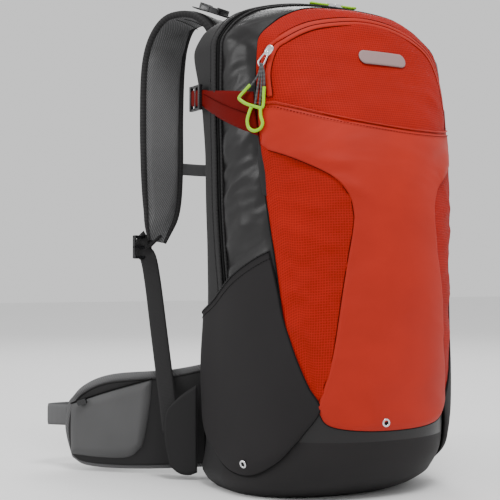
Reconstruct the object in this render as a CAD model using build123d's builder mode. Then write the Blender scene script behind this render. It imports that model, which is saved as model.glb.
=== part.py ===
from build123d import *
from math import copysign, cos, pi, radians, sin
import os

os.makedirs("parts", exist_ok=True)

# A 22 litre hiking daypack standing on its base. Millimetres.
# Origin: on the floor under the middle of the bag. -Y is the front, +Y the side
# that lies against the wearer, -X the wearer's left, +Z up.

# ---- driving dimensions ----
HEIGHT = 514.0            # bag alone, floor to the crown
BACK_SQUARENESS = 6.0     # how square the two rear corners are in plan
WALL = 3.0                # sewn wall with its padding
STASH_GAP = 9.0           # slack behind the front stash pocket
STASH_CLOTH = 1.6
POCKET_GAP = 7.0          # slack inside a side pocket
POCKET_CLOTH = 1.2
FRONT_WALL = 13.6         # front pocket, lying flat
OUTLINE_POINTS = 24
ZIP_Y = (22.0, 34.0)      # main zip tape, front and back edge
ZIP_FOOT_Z = 215.0        # both ends of the main zip
FLAP_Y = (34.4, 44.0)
BASE_TOP_Z = 60.0
SEAM_TOP = (-12.0, 500.0)  # y and z of the tilted front seam
SEAM_LOW = (-50.0, 181.0)
WEBBING = 20.0
WEBBING_THICK = 1.8
BELT_WEBBING = 25.0

# Levels of the bag: height, centre x, half width, widest y, front y, back y,
# squareness of the front. The base sags a little to the wearer's left.
LEVELS = [
    (0, -20, 96, 30, -44, 84, 2.2),
    (7, -15, 108, 33, -61, 96, 2.2),
    (20, -8, 118, 35, -77, 104, 2.2),
    (45, -2, 118, 35, -89, 108, 2.3),
    (95, 0, 119, 35, -98, 108, 2.3),
    (155, 0, 120, 35, -106, 104, 2.2),
    (205, 0, 123, 35, -108, 94, 2.1),
    (250, 0, 127, 35, -107, 86, 2.0),
    (300, 0, 130, 35, -104, 82, 2.0),
    (345, 0, 131, 35, -95, 82, 2.05),
    (390, 0, 132, 35, -77, 88, 2.2),
    (430, 0, 132, 36, -58, 104, 2.4),
    (462, 0, 132, 40, -46, 116, 2.4),
    (484, 0, 122, 48, -38, 113, 2.1),
    (498, 0, 106, 54, -26, 101, 2.0),
    (507, 0, 82, 54, -2, 88, 2.0),
    (HEIGHT, 0, 44, 48, 24, 72, 2.0),
]


# ---- shared forms ----
def signed_power(value, exponent):
    return copysign(abs(value) ** exponent, value)


def level_points(centre, half_width, widest, front, back, squareness, grow):
    """Outline of one level: a soft front half and a square back half."""
    points = []
    for k in range(OUTLINE_POINTS):
        angle = 2 * pi * k / OUTLINE_POINTS
        ahead = cos(angle)
        power = 2 / (squareness if ahead > 0 else BACK_SQUARENESS)
        reach = (widest - front if ahead > 0 else back - widest) + grow
        x = centre + (half_width + grow) * signed_power(sin(angle), power)
        points.append((x, widest - reach * signed_power(ahead, power)))
    return points


def bag_form(grow):
    """The bag's outer form, grown all round by so many millimetres."""
    stretch = 1 + 2 * grow / HEIGHT
    with BuildPart() as form:
        for level in LEVELS:
            height = HEIGHT / 2 + (level[0] - HEIGHT / 2) * stretch
            with BuildSketch(Plane.XY.offset(height)):
                with BuildLine():
                    Spline(*level_points(*level[1:], grow), periodic=True)
                make_face()
        loft(ruled=True)
    return form.part


def write(piece, name):
    """Label one finished piece and write it."""
    piece.part.label = name
    export_step(piece.part, f"parts/{name}.step")


def write_pair(left, name, middle_x=0):
    """Write a left-hand piece and its mirror image."""
    with BuildPart() as right:
        mirror(left.part, about=Plane.YZ.offset(middle_x))
    write(left, f"{name}_left")
    write(right, f"{name}_right")


def slab(y_low, y_high, z_low, z_high):
    """A block wide enough to cut the bag right across."""
    depth = y_high - y_low
    rise = z_high - z_low
    with BuildPart() as block:
        with BuildSketch(Plane.XY.offset(z_low)):
            with Locations((0, (y_low + y_high) / 2)):
                Rectangle(400, depth)
        extrude(amount=rise)
    return block.part


skin = bag_form(0)
inside = bag_form(-WALL)

seam_slope = (SEAM_TOP[0] - SEAM_LOW[0]) / (SEAM_TOP[1] - SEAM_LOW[1])
seam_plane = Plane(
    origin=(0, SEAM_TOP[0], SEAM_TOP[1]), x_dir=(1, 0, 0), z_dir=(0, -1, seam_slope)
)
base_cut = slab(-300, 300, -20, BASE_TOP_Z)
zip_cut = slab(ZIP_Y[0], ZIP_Y[1], ZIP_FOOT_Z, HEIGHT + 20)

# ---- sewn shell of the bag ----
with BuildPart() as shell:
    add(skin)
    add(inside, mode=Mode.SUBTRACT)

with BuildPart() as base_panel:
    add(shell.part)
    add(base_cut, mode=Mode.INTERSECT)
write(base_panel, "base_panel")

with BuildPart() as upper_shell:
    add(shell.part)
    add(base_cut, mode=Mode.SUBTRACT)

with BuildPart() as main_zip:
    add(upper_shell.part)
    add(zip_cut, mode=Mode.INTERSECT)
write(main_zip, "main_zip")

with BuildPart() as back_panel:
    add(upper_shell.part)
    split(bisect_by=Plane.XZ.offset(-ZIP_Y[1]), keep=Keep.BOTTOM)
write(back_panel, "back_panel")

with BuildPart() as body_panel:
    add(upper_shell.part)
    add(zip_cut, mode=Mode.SUBTRACT)
    split(bisect_by=Plane.XZ.offset(-ZIP_Y[1]), keep=Keep.TOP)
    split(bisect_by=seam_plane, keep=Keep.BOTTOM)
write(body_panel, "body_panel")

with BuildPart() as zip_flap:
    add(bag_form(2.4))
    add(skin, mode=Mode.SUBTRACT)
    add(slab(FLAP_Y[0], FLAP_Y[1], ZIP_FOOT_Z, HEIGHT + 20), mode=Mode.INTERSECT)
write(zip_flap, "zip_flap")

# ---- front pocket and the open stash pocket over it ----
STASH_HEM = [(-122, 400), (-95, 386), (-55, 375), (0, 370), (55, 375), (95, 386), (122, 400)]
STASH_LEFT = [(-122, 330), (-84, 316), (-58, 303), (-48, 285), (-54, 240), (-66, 170), (-80, 94)]
STASH_FOOT = [(-80, 94), (-62, 76), (0, 69), (62, 76), (80, 94)]


def stash_outline(headroom):
    """Front view of the stash pocket, its hem raised by the headroom."""
    with BuildPart() as prism:
        with BuildSketch(Plane.XZ):
            with BuildLine():
                hem = [(x, z + headroom) for x, z in STASH_HEM]
                Spline(*hem)
                Line(hem[-1], (-STASH_LEFT[0][0], STASH_LEFT[0][1]))
                Spline(*[(-x, z) for x, z in STASH_LEFT])
                Spline(*STASH_FOOT)
                Spline(*STASH_LEFT)
                Line(STASH_LEFT[0], hem[0])
            make_face()
        extrude(amount=200)
    return prism.part


front_half = slab(-200, 20, BASE_TOP_Z, HEIGHT + 20)

with BuildPart() as stash_recess:
    add(stash_outline(18))
    add(bag_form(-STASH_GAP - STASH_CLOTH), mode=Mode.SUBTRACT)

with BuildPart() as front_panel:
    add(skin)
    add(bag_form(-FRONT_WALL), mode=Mode.SUBTRACT)
    add(front_half, mode=Mode.INTERSECT)
    split(bisect_by=seam_plane, keep=Keep.TOP)
    add(stash_recess.part, mode=Mode.SUBTRACT)
write(front_panel, "front_panel")

with BuildPart() as stash_pocket:
    add(skin)
    add(bag_form(-STASH_CLOTH), mode=Mode.SUBTRACT)
    add(stash_outline(0), mode=Mode.INTERSECT)
    add(front_half, mode=Mode.INTERSECT)
    split(bisect_by=seam_plane, keep=Keep.TOP)
write(stash_pocket, "stash_pocket")

ARCH_LEFT = [(-113, 402), (-113, 425), (-105, 450), (-74, 474), (0, 486)]


def arch_outline(inset):
    """Front view inside the arch of the front zip, drawn in by the inset."""
    left = [(x * (1 - inset / 113), z - inset * (z - 402) / 84) for x, z in ARCH_LEFT]
    right = [(-x, z) for x, z in reversed(left)]
    with BuildPart() as prism:
        with BuildSketch(Plane.XZ):
            with BuildLine():
                Spline(*left, *right[1:])
                Line(right[-1], left[0])
            make_face()
        extrude(amount=200)
    return prism.part


with BuildPart() as front_zip:
    add(bag_form(1.2))
    add(skin, mode=Mode.SUBTRACT)
    add(arch_outline(0), mode=Mode.INTERSECT)
    add(arch_outline(9), mode=Mode.SUBTRACT)
    split(bisect_by=seam_plane.offset(1), keep=Keep.TOP)
write(front_zip, "front_zip")

with BuildPart() as front_mark:
    add(bag_form(0.8))
    add(skin, mode=Mode.SUBTRACT)
    with BuildSketch(Plane.XZ) as mark_outline:
        with Locations((16, 447)):
            SlotOverall(58, 14)
    extrude(amount=200, mode=Mode.INTERSECT)
write(front_mark, "front_mark")

# ---- stretch pocket on each side ----
POCKET_MOUTH = [(-50, 247), (-30, 241), (8, 224), (48, 198), (88, 180)]
POCKET_REAR = [(88, 180), (98, 130), (96, 84), (66, 47), (30, 29), (-11, 23)]
POCKET_FRONT = [(-11, 23), (-40, 38), (-60, 62), (-78, 92), (-68, 140), (-58, 195), (-50, 247)]


def pocket_outline(side, inset, headroom):
    """Side view of a side pocket, drawn in by the inset below its mouth."""
    middle_y = 10
    middle_z = 130

    def drawn_in(points):
        scale = 1 - inset / 100
        return [
            (middle_y + (y - middle_y) * scale, middle_z + (z - middle_z) * scale)
            for y, z in points
        ]

    rear = drawn_in(POCKET_REAR)
    front = drawn_in(POCKET_FRONT)
    raised = [(y, z + headroom) for y, z in (front[-1], rear[0])]
    with BuildPart() as prism:
        with BuildSketch(Plane.YZ.offset(40 * side)):
            with BuildLine():
                if headroom:
                    Polyline(front[-1], *raised, rear[0])
                else:
                    Spline(*POCKET_MOUTH)
                Spline(*rear)
                Spline(*front)
            make_face()
        extrude(amount=140 * side)
    return prism.part


pocket_inner = bag_form(POCKET_GAP)
pocket_outer = bag_form(POCKET_GAP + POCKET_CLOTH)
for side, side_name in ((-1, "left"), (1, "right")):
    with BuildPart() as pocket_room:
        add(pocket_inner)
        add(pocket_outline(side, 4, 60), mode=Mode.INTERSECT)
    with BuildPart() as side_pocket:
        add(pocket_outer)
        add(pocket_outline(side, 0, 0), mode=Mode.INTERSECT)
        add(skin, mode=Mode.SUBTRACT)
        add(pocket_room.part, mode=Mode.SUBTRACT)
    write(side_pocket, f"side_pocket_{side_name}")

# ---- compression wing and its ladder lock, one on each side ----
with BuildPart() as comp_wing:
    add(bag_form(2.6 + WEBBING_THICK))
    add(bag_form(2.6), mode=Mode.SUBTRACT)
    with BuildSketch(Plane.YZ.offset(-40)):
        with BuildLine():
            Polyline((59, 401), (59, 419), (-21, 408), (-28, 363), close=True)
        make_face()
    extrude(amount=-140, mode=Mode.INTERSECT)
write_pair(comp_wing, "comp_wing")


def ladder_lock(plane, width, height, thick):
    """A flat three-bar buckle on the given plane, webbing running upwards."""
    slot_high = height / 4
    with BuildPart() as lock:
        with BuildSketch(plane):
            RectangleRounded(width, height, 3)
            with Locations((0, slot_high), (0, -slot_high)):
                Rectangle(width - 5, slot_high, mode=Mode.SUBTRACT)
        extrude(amount=thick / 2, both=True)
        fillet(lock.edges().filter_by(GeomType.CIRCLE), 0.8)
    return lock


COMP_LOCK_PLANE = Plane(origin=(-138.5, 72, 412), x_dir=(0, 0, 1), z_dir=(-1, 0, 0))
comp_lock = ladder_lock(COMP_LOCK_PLANE, 26, 23, 3.6)
write_pair(comp_lock, "comp_lock")


# ---- pads that lie against the wearer, frame sheet, frame wire, inner wall ----
def back_layer(low_grow, high_grow, half_width, z_low, z_high, corner):
    """A layer over the back between two grown forms, a rounded rectangle from behind."""
    with BuildPart() as layer:
        add(bag_form(high_grow))
        add(bag_form(low_grow), mode=Mode.SUBTRACT)
        with BuildSketch(Plane.XZ.offset(-50)):
            with Locations((0, (z_low + z_high) / 2)):
                RectangleRounded(2 * half_width, z_high - z_low, corner)
        extrude(amount=-120, mode=Mode.INTERSECT)
    return layer


back_pad = back_layer(0, 10, 90, 292, 436, 30)
write(back_pad, "back_pad")
lumbar_pad = back_layer(0, 15, 84, 34, 196, 32)
write(lumbar_pad, "lumbar_pad")
frame_sheet = back_layer(-WALL - 1.8, -WALL, 96, 70, 455, 25)
write(frame_sheet, "frame_sheet")

WIRE_Y = 62.0
with BuildPart() as frame_wire:
    with BuildLine(Plane.XZ.offset(-WIRE_Y)) as wire_path:
        FilletPolyline((-98, 78), (-98, 452), (98, 452), (98, 78), radius=38)
    with BuildSketch(Plane(origin=(-98, WIRE_Y, 78), z_dir=(0, 0, 1))):
        Circle(2)
    sweep()
write(frame_wire, "frame_wire")

with BuildPart() as inner_wall:
    add(bag_form(-FRONT_WALL - 1))
    add(slab(-32, -30, 66, 470), mode=Mode.INTERSECT)
write(inner_wall, "inner_wall")

# ---- haul loop ----
LOOP_HINGE = (0, 109, 497)
with BuildPart() as haul_loop:
    with BuildSketch(Plane.XZ.offset(-LOOP_HINGE[1])):
        with BuildLine():
            Spline((-36, 499), (-33, 517), (-16, 528), (16, 528), (33, 517), (36, 499))
            Line((36, 499), (33.5, 499))
            Spline((33.5, 499), (30.8, 515.6), (15, 525.5), (-15, 525.5), (-30.8, 515.6), (-33.5, 499))
            Line((-33.5, 499), (-36, 499))
        make_face()
    extrude(amount=9, both=True)
write(haul_loop, "haul_loop")

# ---- shoulder straps ----
# Middle line of the left pad: x, y, z, width, thickness, and the turn of its width
# away from the X axis in plan, from the yoke over the shoulder to the chest.
STRAP_STATIONS = [
    (-60, 129, 452, 46, 9, 0),
    (-63, 131, 484, 50, 10, 8),
    (-73, 143, 509, 52, 11, 22),
    (-88, 161, 522, 53, 12, 28),
    (-104, 183, 519, 53, 12, 24),
    (-113, 197, 498, 53, 12, 14),
    (-117, 204, 465, 52, 12, 5),
    (-118, 206, 410, 50, 12, 0),
    (-118, 205, 350, 49, 12, 0),
    (-119, 203, 305, 45, 11, 0),
    (-124, 200, 280, 36, 10, 0),
    (-127, 199, 262, 22, 8, 0),
]


def across(turn, along):
    """Unit vector along the pad's width, square to the line's direction."""
    level = Vector(cos(radians(turn)), sin(radians(turn)), 0)
    return (level - along * level.dot(along)).normalized()


with BuildPart() as shoulder_pad:
    for i, (x, y, z, width, thick, turn) in enumerate(STRAP_STATIONS):
        before = Vector(*STRAP_STATIONS[max(i - 1, 0)][:3])
        after = Vector(*STRAP_STATIONS[min(i + 1, len(STRAP_STATIONS) - 1)][:3])
        along = (after - before).normalized()
        with BuildSketch(Plane(origin=(x, y, z), x_dir=across(turn, along), z_dir=along)):
            RectangleRounded(width, thick, 0.42 * thick)
    loft()
write_pair(shoulder_pad, "shoulder_pad")


def strip(start, end, width_way, width, thick=WEBBING_THICK):
    """A straight length of webbing between two points."""
    line = Vector(*end) - Vector(*start)
    along = line.normalized()
    level = Vector(*width_way)
    width_dir = (level - along * level.dot(along)).normalized()
    with BuildPart() as webbing:
        with BuildSketch(Plane(origin=start, x_dir=width_dir, z_dir=along)):
            Rectangle(width, thick)
        extrude(amount=line.length)
    return webbing


lift_strap = strip((-68, 112, 511), (-94, 162, 532.5), (0.83, 0.55, 0), 15)
write_pair(lift_strap, "lift_strap")

LIFT_LOCK_AT = (-82.5, 139, 527.5)
lift_lock_plane = Plane(origin=LIFT_LOCK_AT, x_dir=(0.83, 0.55, 0), z_dir=(0.17, -0.32, 0.93))
lift_lock = ladder_lock(lift_lock_plane, 22, 26, 3.6)
write_pair(lift_lock, "lift_lock")

STRAP_LOCK_PLANE = Plane(origin=(-141, 208, 256), x_dir=(0.96, 0.28, 0), z_dir=(-0.28, 0.96, 0))
strap_lock = ladder_lock(STRAP_LOCK_PLANE, 26, 27, 3.8)
write_pair(strap_lock, "strap_lock")

lower_strap = strip((-132, 202, 240), (-143, 122, 50), (0.84, -0.54, 0), WEBBING)
write_pair(lower_strap, "lower_strap")

ANCHOR_PLANE = Plane(origin=(-120, 104, 0), x_dir=(-0.85, 0.527, 0), z_dir=(0.527, 0.85, 0))
with BuildPart() as anchor_wing:
    with BuildSketch(ANCHOR_PLANE):
        with BuildLine():
            Polyline((0, 104), (37, 76), (32, 14), (10, 4), (0, 8), close=True)
        make_face()
    extrude(amount=1.5, both=True)
write_pair(anchor_wing, "anchor_wing")

# ---- sternum strap, unclipped ----
STERNUM_Y = 213.0
STERNUM_Z = 350.0
with BuildPart() as sternum_clip:
    with BuildSketch(Plane.XZ.offset(-STERNUM_Y - 2)):
        with Locations((-121, STERNUM_Z)):
            RectangleRounded(24, 20, 3)
            Rectangle(15, 3, mode=Mode.SUBTRACT)
    extrude(amount=3)
write_pair(sternum_clip, "sternum_clip")
sternum_strap = strip((-108, STERNUM_Y, STERNUM_Z), (-29, STERNUM_Y, STERNUM_Z), (0, 0, 1), 14, 1.5)
write_pair(sternum_strap, "sternum_strap")


def socket_buckle(mouth_x, y, z, length, height, depth):
    """The hollow half of a side-release buckle, its mouth towards +X."""
    with BuildPart() as socket:
        with BuildSketch(Plane.YZ.offset(mouth_x - length)):
            with Locations((y, z)):
                RectangleRounded(depth, height, 0.35 * depth)
        extrude(amount=length)
        with BuildSketch(Plane.YZ.offset(mouth_x)):
            with Locations((y, z)):
                Rectangle(depth - 4, height - 6)
        extrude(amount=-0.6 * length, mode=Mode.SUBTRACT)
    return socket


def prong_buckle(tip_x, y, z, length, height, depth):
    """The half with three prongs, which point towards -X."""
    root_x = tip_x + 0.55 * length
    with BuildPart() as prongs:
        with BuildSketch(Plane.YZ.offset(root_x)):
            with Locations((y, z)):
                RectangleRounded(depth, height, 0.35 * depth)
        extrude(amount=0.45 * length)
        with BuildSketch(Plane.YZ.offset(tip_x)):
            with Locations((y, z - 0.32 * height), (y, z), (y, z + 0.32 * height)):
                Rectangle(0.3 * depth, 0.1 * height)
        extrude(amount=0.55 * length)
    return prongs


write(socket_buckle(-6, STERNUM_Y, STERNUM_Z, 22, 22, 9), "sternum_socket")
write(prong_buckle(-2, STERNUM_Y, STERNUM_Z, 24, 22, 9), "sternum_prongs")

# ---- hip belt ----
BELT_ROOT = (-90.0, 124.0)
BELT_ALONG = (-0.718, 0.696)
BELT_BEND = 755.0         # radius of the wing's curve in plan
BELT_HALF = 7.0
BELT_CENTRE = (365.5, 725.3)
belt_plane = Plane(origin=(*BELT_ROOT, 0), x_dir=(*BELT_ALONG, 0), z_dir=(0.696, 0.718, 0))


def belt_layer(inner, outer, outline):
    """A layer of the left wing between two distances from its middle surface."""
    with BuildPart() as layer:
        with BuildSketch():
            with Locations(BELT_CENTRE):
                Circle(BELT_BEND + outer)
                Circle(BELT_BEND + inner, mode=Mode.SUBTRACT)
        extrude(amount=140)
        with BuildSketch(belt_plane.offset(-40)):
            with BuildLine():
                outline()
            make_face()
        extrude(amount=80, mode=Mode.INTERSECT)
    return layer


def wing_outline():
    Spline((6, 126), (50, 117.5), (120, 111), (158, 96), (176, 78))
    Spline((176, 78), (181, 48), (172, 12))
    Spline((172, 12), (150, 4), (90, 3), (6, 8))
    Line((6, 8), (6, 126))


def belt_pocket_outline():
    Line((68, 108), (168, 76))
    Line((168, 76), (168, 18))
    Spline((168, 18), (130, 16), (96, 18), (82, 26), (76, 42))
    Spline((76, 42), (71, 74), (68, 108))


belt_wing = belt_layer(-BELT_HALF, BELT_HALF, wing_outline)
write_pair(belt_wing, "belt_wing")
belt_pocket = belt_layer(BELT_HALF, BELT_HALF + 8, belt_pocket_outline)
write_pair(belt_pocket, "belt_pocket")

BELT_SLIDER_S = 150.0
with BuildPart() as belt_slider:
    with BuildSketch(belt_plane.offset(-19.7)):
        with Locations(Location((BELT_SLIDER_S, 79, 0), (0, 0, -17.7))):
            RectangleRounded(11, 6, 2)
    extrude(amount=-4)
write_pair(belt_slider, "belt_slider")

tip_out = strip((-221, 251, 61), (-234, 264, 61), (0, 0, 1), BELT_WEBBING)
write_pair(tip_out, "belt_tip")
hip_strap = strip((-231, 272, 61), (-160, 275, 61), (0, 0, 1), BELT_WEBBING)
write_pair(hip_strap, "hip_strap")
write(socket_buckle(-126, 275, 61, 33, 36, 12), "hip_socket")
write(prong_buckle(122, 275, 61, 37, 36, 12), "hip_prongs")

# ---- zip sliders and pulls ----
CROWN_Z = HEIGHT + 1.8
SLIDERS_X = 8.0            # where the two main sliders meet on the crown
with BuildPart() as main_slider:
    with BuildSketch(Plane.XY.offset(CROWN_Z)):
        with Locations((SLIDERS_X - 6, 28)):
            RectangleRounded(10, 8, 2)
    extrude(amount=4)
write_pair(main_slider, "main_slider", SLIDERS_X)
with BuildPart() as main_pull:
    with BuildSketch(Plane.XY.offset(CROWN_Z + 0.6)):
        with Locations((SLIDERS_X - 25, 28)):
            SlotOverall(26, 9)
            SlotOverall(17, 3.4, mode=Mode.SUBTRACT)
    extrude(amount=2.6)
write_pair(main_pull, "main_pull", SLIDERS_X)

FRONT_SLIDER_PLANE = Plane(origin=(-109.3, -22.2, 452), x_dir=(0.62, -0.78, 0), z_dir=(-0.78, -0.62, 0.05))
with BuildPart() as front_slider:
    with BuildSketch(FRONT_SLIDER_PLANE):
        with Locations(Location((0, 0, 0), (0, 0, 62))):
            RectangleRounded(15, 8, 2.5)
    extrude(amount=4)
write(front_slider, "front_slider")
with BuildPart() as front_pull:
    with BuildSketch(FRONT_SLIDER_PLANE.offset(8.5)):
        with BuildLine():
            Polyline((-4, -8), (4, -8), (7, -34), (12, -52), (6, -84), (-6, -84), (-14, -52), (-7, -34), close=True)
        make_face()
    extrude(amount=3)
write(front_pull, "front_pull")

# ---- drain eyelets ----
EYELETS = [
    ((-12, -95.7, 79), (-0.06, -0.98, -0.17)),
    ((-125.7, -10.2, 33.5), (-0.96, -0.23, 0.16)),
    ((119.8, -10.2, 33.5), (0.96, -0.23, -0.2)),
]
with BuildPart() as drain_eyelets:
    for place, outward in EYELETS:
        with Locations(Plane(origin=place, z_dir=outward)):
            Torus(3.2, 1.0)
write(drain_eyelets, "drain_eyelets")
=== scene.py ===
import math

import bpy
import numpy as np
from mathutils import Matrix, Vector, noise


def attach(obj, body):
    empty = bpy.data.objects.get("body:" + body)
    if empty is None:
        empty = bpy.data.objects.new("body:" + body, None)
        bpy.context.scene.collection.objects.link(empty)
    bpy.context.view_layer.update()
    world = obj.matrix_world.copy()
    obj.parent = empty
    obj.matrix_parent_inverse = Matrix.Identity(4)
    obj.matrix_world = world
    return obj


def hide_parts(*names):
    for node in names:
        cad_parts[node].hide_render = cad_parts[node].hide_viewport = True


# A 22 litre daypack. Shape tables are in millimetres in the CAD frame, and
# meshes are written in metres. -Y is the front, +Y the wearer's side, +Z up.

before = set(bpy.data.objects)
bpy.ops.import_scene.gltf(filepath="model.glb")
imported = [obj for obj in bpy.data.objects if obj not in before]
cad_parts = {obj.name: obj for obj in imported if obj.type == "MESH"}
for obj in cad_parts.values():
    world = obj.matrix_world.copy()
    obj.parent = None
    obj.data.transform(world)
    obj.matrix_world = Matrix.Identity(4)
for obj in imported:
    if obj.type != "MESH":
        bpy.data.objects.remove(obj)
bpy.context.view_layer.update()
MM = 0.001
HEIGHT = 514.0
BACK_SQUARENESS = 6.0
SIDES = ((-1, "left"), (1, "right"))

# Height, centre x, half width, widest y, front y, back y, squareness of the front.
LEVELS = np.array([
    (0, -20, 96, 30, -44, 84, 2.2),
    (7, -15, 108, 33, -61, 96, 2.2),
    (20, -8, 118, 35, -77, 104, 2.2),
    (45, -2, 118, 35, -89, 108, 2.3),
    (95, 0, 119, 35, -98, 108, 2.3),
    (155, 0, 120, 35, -106, 104, 2.2),
    (205, 0, 123, 35, -108, 94, 2.1),
    (250, 0, 127, 35, -107, 86, 2.0),
    (300, 0, 130, 35, -104, 82, 2.0),
    (345, 0, 131, 35, -95, 82, 2.05),
    (390, 0, 132, 35, -77, 88, 2.2),
    (430, 0, 132, 36, -58, 104, 2.4),
    (462, 0, 132, 40, -46, 116, 2.4),
    (484, 0, 122, 48, -38, 113, 2.1),
    (498, 0, 106, 54, -26, 101, 2.0),
    (507, 0, 82, 54, -2, 88, 2.0),
    (HEIGHT, 0, 44, 48, 24, 72, 2.0),
    (HEIGHT + 2.5, 0, 12, 48, 40, 56, 2.0),
])
SPINE_Y = 30.0               # the bag's inner line, which rays start from
SPINE_Z = (70.0, 430.0)
SEAM_TOP = (-12.0, 500.0)    # y and z of the tilted seam round the front
SEAM_LOW = (-50.0, 181.0)
FLAP_Y = (22.0, 44.0)
FRONT_START_Y = 34.0         # planes in the bag that front and side rays start from
SIDE_START_X = 20.0
RAY_LENGTH = 420.0
RAY_HALVINGS = 26


# ---- curves and the bag's form ----
def smooth_table(table, at):
    """Columns of a table read at heights, by a cubic that doesn't overshoot."""
    x, y = table[:, 0], table[:, 1:]
    step = np.diff(x)[:, None]
    slope = np.diff(y, axis=0) / step
    tangent = np.zeros_like(y)
    same = slope[:-1] * slope[1:] > 0
    mean = 2 * slope[:-1] * slope[1:] / np.where(same, slope[:-1] + slope[1:], 1)
    tangent[1:-1] = np.where(same, mean, 0)
    tangent[0], tangent[-1] = slope[0], slope[-1]
    i = np.clip(np.searchsorted(x, at) - 1, 0, len(x) - 2)
    t = (np.clip((at - x[i]) / (x[i + 1] - x[i]), 0, 1))[:, None]
    h = (x[i + 1] - x[i])[:, None]
    return (
        y[i] * (1 + 2 * t) * (1 - t) ** 2
        + y[i + 1] * t * t * (3 - 2 * t)
        + h * t * (1 - t) ** 2 * tangent[i]
        - h * t * t * (1 - t) * tangent[i + 1]
    )


def curve(points, count, closed=False):
    """Points evenly spaced along a smooth line through the given ones."""
    p = np.array(points, float)
    if len(p) == 2:
        fine = p[0] + (p[1] - p[0]) * np.linspace(0, 1, 64)[:, None]
    else:
        if closed:
            p = np.vstack([p[-1], p, p[0], p[1]])
        else:
            p = np.vstack([2 * p[0] - p[1], p, 2 * p[-1] - p[-2]])
        t = np.linspace(0, 1, 24, endpoint=False)[:, None]
        spans = []
        for a, b, c, d in zip(p, p[1:], p[2:], p[3:]):
            spans.append(
                0.5 * (2 * b + (c - a) * t + (2 * a - 5 * b + 4 * c - d) * t**2
                       + (3 * b - a - 3 * c + d) * t**3)
            )
        fine = np.vstack(spans + [p[-2][None]])
    return resample(fine, count)


def resample(p, count):
    """Points evenly spaced along a polyline."""
    run = np.r_[0, np.cumsum(np.linalg.norm(np.diff(p, axis=0), axis=1))]
    at = np.linspace(0, run[-1], count)
    return np.stack([np.interp(at, run, p[:, k]) for k in range(p.shape[1])], 1)


def is_outside(p):
    """Whether each point is outside the bag's form."""
    z = p[:, 2]
    cx, half, widest, front, back, square = smooth_table(LEVELS, z).T
    ahead = p[:, 1] < widest
    reach = np.where(ahead, widest - front, back - widest)
    power = np.where(ahead, square, BACK_SQUARENESS)
    out = np.abs((p[:, 0] - cx) / half) ** power
    out += np.abs((p[:, 1] - widest) / reach) ** power
    return (z < 0) | (z > LEVELS[-1, 0]) | (out > 1)


def spine(p):
    """Points of the inner line level with the given ones."""
    z = np.clip(p[:, 2], *SPINE_Z)
    return np.stack([np.zeros(len(p)), np.full(len(p), SPINE_Y), z], 1)


def cast(start, way):
    """Where rays from inside the bag leave its form."""
    way = way / np.linalg.norm(way, axis=1)[:, None]
    low = np.zeros(len(start))
    high = np.full(len(start), RAY_LENGTH)
    for _ in range(RAY_HALVINGS):
        middle = (low + high) / 2
        out = is_outside(start + way * middle[:, None])
        high = np.where(out, middle, high)
        low = np.where(out, low, middle)
    return start + way * low[:, None]


def on_bag(points, grow=0.0):
    """Points moved along rays from the spine on to the bag's form."""
    p = np.array(points, float)
    flat = p.reshape(-1, 3)
    s = spine(flat)
    grown = np.broadcast_to(grow, p.shape[:-1]).reshape(-1)
    return (cast(s, flat - s) + push(flat, s) * grown[:, None]).reshape(p.shape)


def push(flat, s):
    """Unit directions away from the inner line."""
    way = flat - s
    return way / np.linalg.norm(way, axis=1)[:, None]


def bag_surface(grid):
    """A grid laid on the bag, and the outward direction at each of its points."""
    base = on_bag(grid)
    flat = base.reshape(-1, 3)
    return base, push(flat, spine(flat)).reshape(base.shape)


def front_view(points):
    """Points given as x, z, laid on the front of the bag."""
    p = np.array(points, float)
    start = np.stack([p[:, 0], np.full(len(p), FRONT_START_Y), p[:, 1]], 1)
    return cast(start, np.tile((0.0, -1.0, 0.0), (len(p), 1)))


def side_view(points, side):
    """Points given as y, z, laid on one side of the bag."""
    p = np.array(points, float)
    start = np.stack([np.full(len(p), side * SIDE_START_X), p[:, 0], p[:, 1]], 1)
    return cast(start, np.tile((float(side), 0.0, 0.0), (len(p), 1)))


def seam_y(z):
    """The front seam's y at a height."""
    return SEAM_LOW[0] + (z - SEAM_LOW[1]) * (SEAM_TOP[0] - SEAM_LOW[0]) / (SEAM_TOP[1] - SEAM_LOW[1])


def hoop(y_of_z, foot_z, count):
    """A line round the bag over its crown, from the left foot to the right one."""
    angles = np.linspace(0, math.pi, count)
    centre_z = 300.0
    reach = np.stack([-np.cos(angles), np.sin(angles)], 1)
    start = np.stack([np.zeros(count), np.zeros(count), np.full(count, centre_z)], 1)
    y = np.full(count, y_of_z(centre_z))
    for _ in range(8):
        start[:, 1] = y
        tip = cast(start, np.stack([reach[:, 0], np.zeros(count), reach[:, 1]], 1))
        y = y_of_z(tip[:, 2])
    left = np.array([(y_of_z(z), z) for z in np.arange(foot_z, centre_z - 1, 8.0)])
    return resample(np.vstack([side_view(left, -1), tip, side_view(left[::-1], 1)]), count)


def level_hoop(y, foot_z, count):
    """A hoop that keeps one y all the way round."""
    return hoop(lambda z: y + 0 * z, foot_z, count)


def coons(bottom, top, left, right):
    """A grid of points between four border lines."""
    m, n = len(left), len(bottom)
    v = np.linspace(0, 1, m)[:, None, None]
    u = np.linspace(0, 1, n)[None, :, None]
    corners = ((1 - u) * (1 - v) * bottom[0] + u * (1 - v) * bottom[-1]
               + (1 - u) * v * top[0] + u * v * top[-1])
    return (1 - v) * bottom[None] + v * top[None] + (1 - u) * left[:, None] + u * right[:, None] - corners


def falloff(m, n, rows=3.0, columns=3.0):
    """1 inside a grid, easing to 0 at its border, over so many rows and columns."""
    i = np.minimum(np.arange(m), np.arange(m)[::-1])[:, None] / rows
    j = np.minimum(np.arange(n), np.arange(n)[::-1])[None, :] / columns
    edge = np.clip(np.minimum(i, j), 0, 1)
    return np.sin(edge * math.pi / 2) ** 0.8


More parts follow.
